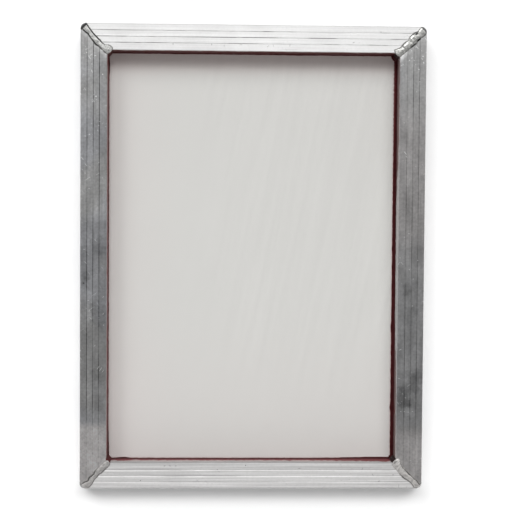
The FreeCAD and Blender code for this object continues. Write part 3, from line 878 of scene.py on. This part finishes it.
def face_bead(corner, material, seed):
    """The bead across the upper face of a mitre, laid into the cut seam."""
    bead = BEADS[corner]
    start, end = FACET_END + 0.02, bead["outline"][-1][0] + MESHED
    steps, across = 220, 36
    rings, darkness = [], []
    for step in range(steps + 1):
        place = start + (end - start) * step / steps
        low, high = bead_outline(bead, place)
        ragged = 0.35 * smooth(high - low, 2, 6)
        low += ragged * wobble(place / 1.6, 0, seed + 2)
        high += ragged * wobble(place / 1.6, 4, seed + 3)
        past_seam = place > SEAM
        limit = place - 0.05  # where a rail's outer face would cut the bead off
        low, high = max(low, -limit), min(high, limit)
        ring, dark = [], []
        for i in range(across + 1):
            side = low + (high - low) * i / across
            ring.append((place, side, TOP + bead_height(bead, place, side, low, high, seed)))
            dark.append(bead_patches(bead, place, side))
        # The bead darkens towards its outer end.
        strength, reach = bead["tip_darkness"]
        dark_tip = strength * smooth(place, reach + 0.6, reach - 0.8)
        levels = [curve(points, place) for points in bead["darkness"]]
        dark[:3] = [levels[0], 0.9 * levels[0], 0.5 * levels[0]]
        dark[-3:] = [0.5 * levels[1], 0.9 * levels[1], levels[1]]

        half = 0.3 if past_seam else SEAM_HALF
        for side, height, level in bead_skirt(-low, levels[0], place, limit, half, seed):
            ring.insert(0, (place, -side, TOP + height))
            dark.insert(0, level)
        for side, height, level in bead_skirt(high, levels[1], place, limit, half, seed):
            ring.append((place, side, TOP + height))
            dark.append(level)

        # Underneath, the root fills the groove between the rails.
        depth = 1.0 if past_seam else SEAM_DEPTH
        root = min(SEAM_ROOT_HALF, half)
        for side, height in ((half, -0.4), (root, -depth), (-root, -depth), (-half, -0.4)):
            ring.append((place, min(max(side, -limit), limit), TOP + height))
            dark.append(0.0)
        rings.append(ring)
        darkness.append([max(level, dark_tip) if dark_tip > 0 else level for level in dark])
    corner_piece("bead_face", "weld_face", corner, rings, material, darkness)


def inner_fillet(corner, material, seed):
    """The upright fillet weld in a corner of the well, rippled all the way down."""
    leg, bulge = 7.0, 0.7
    steps, across = 110, 16
    rings = []
    for step in range(steps + 1):
        height = BOTTOM + (TOP - 0.4 - BOTTOM) * step / steps
        own_leg = leg * (1 + 0.10 * wobble(height / 7, 0, seed))
        ring = [(SEAM - 0.2, 0, height)]
        for i in range(across + 1):
            share = 2 * i / across - 1
            side = own_leg / math.sqrt(2) * share
            dome = 1 - share * share
            ripple = 0.28 * math.cos(2 * math.pi * (height + 1.5 * share * share) / 3.1 + seed)
            lump = 0.5 * wobble(height / 4, side / 3, seed)
            out = SEAM + own_leg / math.sqrt(2) + bulge * dome + (ripple + lump) * dome**0.5
            ring.append((out, side, height))
        rings.append(ring)
    corner_piece("bead_inner", "weld_inner", corner, rings, material)


# How round each outer corner was ground, in mm.
OUTER_RADII = {"back_left": 8.0, "back_right": 7.0, "front_left": 6.0, "front_right": 7.0}


def outer_corner(corner, material, seed):
    """The upright weld of an outer corner, ground round, with a facet ground off its top."""
    radius = OUTER_RADII[corner]
    centre = radius * math.sqrt(2)
    tangent = radius / math.sqrt(2)
    inner = CORNER_CUT - 0.02
    flank = [inner - 0.1 - (inner - 0.1 - tangent) * i / 5 for i in range(5)]
    outline = [(place, -place, 0.0) for place in flank]
    facets, steps = 28, 30
    for facet in range(facets + 1):
        angle = math.radians(45) * (2 * facet / facets - 1)
        outline.append((centre - radius * math.cos(angle), radius * math.sin(angle), 1.0))
    outline += [(place, place, 0.0) for place in flank[::-1]]
    rings = []
    for i, (place, side, ground) in enumerate(outline):
        top = TOP - max(FACET_END - place, 0.0)
        ring = [(inner, side, BOTTOM)]
        for step in range(steps + 1):
            height = BOTTOM + (top - BOTTOM) * step / steps
            dent = (0.15 * math.cos(i * 0.9 + seed) + 0.25 * wobble(height / 5, i / 5, seed)) * ground
            ring.append((place + abs(dent) * 0.8, side * (1 - abs(dent) * 0.03), height))
        edge = max(place, FACET_END)
        middle = (place + edge) / 2
        hump = 0.2 * wobble(side / 2, 1, seed) * ground
        ring.append((middle, side, (top + TOP) / 2 + hump))
        ring.append((edge, side, TOP))
        ring.append((inner, side, TOP))
        rings.append(ring)
    corner_piece("ground_corner", "weld_outer", corner, rings, material)


# Adhesive

SIDE_TURNS = {"back": 0, "left": 90, "front": 180, "right": 270}

# The adhesive's reach over the mesh, the height of its thick foot, the height of the thin skin on the
# wall, how ragged they are, and bulges as (place along the side, size, extra reach), all in mm.
STRIPS = {
    "back": dict(reach=1.1, foot=5, skin=26, ragged=0.35, bulges=[(-150, 14, 0.5), (90, 20, 0.4)]),
    "front": dict(reach=0.7, foot=9, skin=17, ragged=0.35, bulges=[(262, 11, 1.4), (-262, 80, 1.9)]),
    "left": dict(reach=0.75, foot=4, skin=22, ragged=0.35, bulges=[(-400, 55, 1.2), (370, 20, 0.8)]),
    "right": dict(
        reach=5.3, foot=6, skin=9, ragged=0.55, bulges=[(140, 13, 1.0), (298, 9, 1.4), (-330, 130, -2.2)]
    ),
}
SKIN_THICKNESS = 0.12
STRIP_FLOOR = 0.1  # the least reach that a ragged stretch leaves


def adhesive_strip(side, material, seed):
    """The film of adhesive under a rail, its ragged bead at the wall's foot and the skin up the wall."""
    strip = STRIPS[side]
    short = side in ("back", "front")
    half_length, half_across = (OUTER_X, OUTER_Y) if short else (OUTER_Y, OUTER_X)
    half_length, half_across, width = half_length / MM, half_across / MM, RAIL_WIDTH / MM
    floor = MESH_TOP / MM
    steps, levels = (560, 16) if short else (760, 16)
    rings = []
    for step in range(steps + 1):
        share = 2 * step / steps - 1
        place = share * half_length
        bulge = sum(extra * math.exp(-(((place - at) / size) ** 2)) for at, size, extra in strip["bulges"])
        ripple = wobble(place / 11, 0, seed) + 0.6 * wobble(place / 3.5, 0, seed + 7)
        reach = max(strip["reach"] + bulge + strip["ragged"] * ripple, STRIP_FLOOR)
        foot = strip["foot"] * (1 + 0.2 * wobble(place / 9, 0, seed + 3))
        ragged_top = wobble(place / 12, 0, seed + 11) + 0.6 * wobble(place / 4, 0, seed + 13)
        skin = max(strip["skin"] * (1 + 0.35 * ragged_top) + 5 * max(bulge, 0), foot + 0.5)
        skin = min(skin, TOP - 3)
        section = [(0.5, floor), (0.5, BOTTOM), (width - 0.1, BOTTOM), (width - 0.1, skin)]
        for level in range(levels + 1):
            height = floor + (skin - floor) * (1 - level / levels) ** 1.8
            thickness = SKIN_THICKNESS * smooth(skin - height, 0.0, 1.0)
            thickness += reach * max(1 - (height - floor) / foot, 0.0) ** 2.2
            section.append((width + thickness, height))
        ring = []
        for inwards, height in section:
            length = half_length - inwards - CORNER_RADIUS * 0.4 * (inwards < 1)
            ring.append((share * length, half_across - inwards, height))
        rings.append(ring)
    turn = Matrix.Rotation(math.radians(SIDE_TURNS[side]), 4, "Z")
    piece = loft(f"adhesive_bead_{side}", moved(turn, rings), material)
    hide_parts(f"adhesive_{side}")


# The adhesive dabbed into each inner corner, in mm: how far it reaches along the two walls, its height,
# and how round it is, from a straight chamfer at 0 to a quarter disc at 1.
SEALS = {
    "back_left": (6.5, 5.5, 0.2),
    "back_right": (10.5, 8.0, 0.9),
    "front_left": (6.5, 5.0, 0.3),
    "front_right": (9.0, 6.0, 0.6),
}


def corner_seal(corner, material, seed):
    """A lump of adhesive in a corner of the well: sections fan out from the corner to the two walls."""
    reach, rise, roundness = SEALS[corner]
    floor = MESH_TOP / MM
    fans, levels = 30, 16
    rings = []
    for fan in range(fans + 1):
        angle = math.radians(45) * (2 * fan / fans - 1)
        chamfer = math.cos(math.radians(45)) / math.cos(angle)
        own = reach * (roundness + (1 - roundness) * chamfer) * (1 + 0.08 * wobble(fan / 4, 0, seed))
        ring = [(0.3, floor)]
        for level in range(levels + 1):
            out = own * level / levels
            bump = 0.35 * wobble(out / 3, fan / 5, seed)
            up = (rise + bump) * max(1 - (level / levels) ** 1.6, 0.0) ** 0.8
            ring.append((0.3 + out, floor + up + 0.02))
        ring.append((0.3 + own, floor))
        ring = [(SEAM + out * math.cos(angle), out * math.sin(angle), height) for out, height in ring]
        rings.append(ring)
    corner_piece("seal", "corner_seal", corner, rings, material)


# The mesh


def stretched_mesh(material):
    """The woven mesh: one flat sheet with its edge trimmed just inside the outer faces."""
    low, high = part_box("screen_mesh")
    radius, steps = 7.2 * MM, 8
    outline = []
    for quarter in range(4):
        across = 1 if quarter in (0, 3) else -1
        along = 1 if quarter in (0, 1) else -1
        for step in range(steps + 1):
            angle = math.radians(90) * (quarter + step / steps)
            x = across * (high.x - radius) + radius * math.cos(angle)
            y = along * (high.y - radius) + radius * math.sin(angle)
            outline.append((x, y))
    rings = [[(x, y, z) for x, y in outline] for z in (low.z, high.z)]
    piece = loft("stretched_mesh", rings, material)
    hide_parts("screen_mesh")


# Studio


def add_camera():
    """The camera over the frame, tilted a little, with a long lens."""
    distance = 2.1
    tilt_x, tilt_y, roll = (math.radians(angle) for angle in (2.17, 1.765, -0.345))
    aim = Vector((3.6 * MM, 5.4 * MM, 0))
    turn = Matrix.Rotation(roll, 3, "Z") @ Matrix.Rotation(tilt_y, 3, "Y") @ Matrix.Rotation(tilt_x, 3, "X")
    back = turn.transposed()
    centre = Vector((0, 0, RAIL_TOP))
    place = centre + back @ Vector((0, 0, distance))
    target = centre + back @ aim
    away = (place - target).normalized()
    right = (back @ Vector((0, 1, 0))).cross(away).normalized()
    up = away.cross(right)
    camera = add_object("camera", bpy.data.cameras.new("camera"))
    camera.data.sensor_width = 36
    camera.data.lens = 87.35
    camera.data.clip_end = 100
    axes = Matrix((right, up, away)).transposed().to_4x4()
    camera.matrix_world = Matrix.Translation(place) @ axes
    scene.camera = camera


def add_floor():
    """A pale floor just under the frame."""
    half, level = 20.0, -0.4 * MM
    corners = [(-half, -half, level), (half, -half, level), (half, half, level), (-half, half, level)]
    mesh = bpy.data.meshes.new("floor")
    mesh.from_pydata(corners, [], [(0, 1, 2, 3)])
    mesh.materials.append(floor_material())
    add_object("floor", mesh)


# The studio's broad soft lights: strength, spread, and the compass angle from the back and the height
# that each shines from, in degrees.
LIGHTS = {
    "key_left": (1.34, 32, -34, 40),
    "key_centre": (1.17, 28, 0, 60),
    "key_right": (0.92, 28, 32, 45),
}


def add_lights():
    for name, (strength, spread, compass, height) in LIGHTS.items():
        compass, height = math.radians(compass), math.radians(height)
        flat = math.cos(height)
        direction = Vector((math.sin(compass) * flat, math.cos(compass) * flat, math.sin(height)))
        lamp = bpy.data.lights.new(name, "SUN")
        lamp.energy = strength
        lamp.angle = math.radians(spread)
        add_object(name, lamp).rotation_euler = direction.to_track_quat("Z", "Y").to_euler()


def add_surround():
    """A dim ceiling over walls that glow towards the horizon, and a broad soft fill from the front."""
    ceiling, horizon, glow_height, front = 0.10, 1.3, 0.35, 1.6
    world = bpy.data.worlds.new("surround")
    scene.world = world
    g = Graph(world)
    _, y, z = g.split(g.node("TexCoord").outputs["Generated"])
    low = g.math("MAXIMUM", g.minus(1.0, g.math("DIVIDE", g.size(z), glow_height)), 0.0)
    facing = g.math("MAXIMUM", g.times(y, -1.0), 0.0)
    strength = g.add(g.times(low, horizon), g.times(facing, facing, front), ceiling)
    background = g.nodes["Background"].inputs
    g.feed(background["Strength"], strength)
    g.feed(background["Color"], (1, 1, 1))


# The scene


def dress_node(node, material):
    """Gives a CAD node a better material."""
    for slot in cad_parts[node].material_slots:
        slot.link = "OBJECT"
        slot.material = material


# The colour of the thin skin of adhesive on each wall, and of the dabs in the corners. The back wall's and
# the corners' are near black: partly painted shade, as they lie in the shade of the back rail and the
# corners.
SKIN_COLOURS = {
    "back": (0.055, 0.011, 0.010),
    "front": (0.15, 0.032, 0.035),
    "left": (0.16, 0.028, 0.032),
    "right": (0.11, 0.034, 0.034),
    "corners": (0.055, 0.012, 0.012),
}

GROUND_COLOUR = (0.58, 0.575, 0.57)

# Colours of the welds: the bead on each upper face, the fillet in the well, and the ground corner's top.
# The fillets' colours are near black: partly grime and adhesive, partly painted shade in the well's
# corners.
WELD_COLOURS = {
    "back_left": ((0.455, 0.455, 0.443), (0.13, 0.06, 0.055), (0.12, 0.12, 0.12)),
    "back_right": ((0.42, 0.42, 0.405), (0.05, 0.03, 0.03), (0.15, 0.15, 0.15)),
    "front_left": ((0.50, 0.485, 0.475), (0.12, 0.035, 0.036), (0.36, 0.355, 0.355)),
    "front_right": ((0.59, 0.57, 0.555), (0.045, 0.028, 0.028), (0.40, 0.39, 0.38)),
}


def main():
    add_camera()
    add_floor()
    add_lights()
    add_surround()
    scene.view_settings.view_transform = "Standard"
    for side in SIDES:
        dress_node(f"rail_{side}", rail_material(side))
    adhesives = {name: adhesive_material(name, colour) for name, colour in SKIN_COLOURS.items()}
    ground = ground_material("ground_underside", GROUND_COLOUR, GROUND_COLOUR)
    for seed, corner in enumerate(CORNERS, start=1):
        bead_colour, fillet_colour, corner_colour = WELD_COLOURS[corner]
        dress_node(f"weld_underside_{corner}", ground)
        face_bead(corner, weld_material(f"weld_face_{corner}", bead_colour, 0.52), seed * 3.7)
        inner_fillet(corner, weld_material(f"weld_inner_{corner}", fillet_colour, 0.5), seed * 5.3)
        outer_corner(corner, ground_material(f"ground_{corner}", GROUND_COLOUR, corner_colour), seed * 2.9)
        corner_seal(corner, adhesives["corners"], seed * 4.1)
    for seed, side in enumerate(SIDES, start=1):
        adhesive_strip(side, adhesives[side], seed * 6.1)
    stretched_mesh(mesh_material())


main()
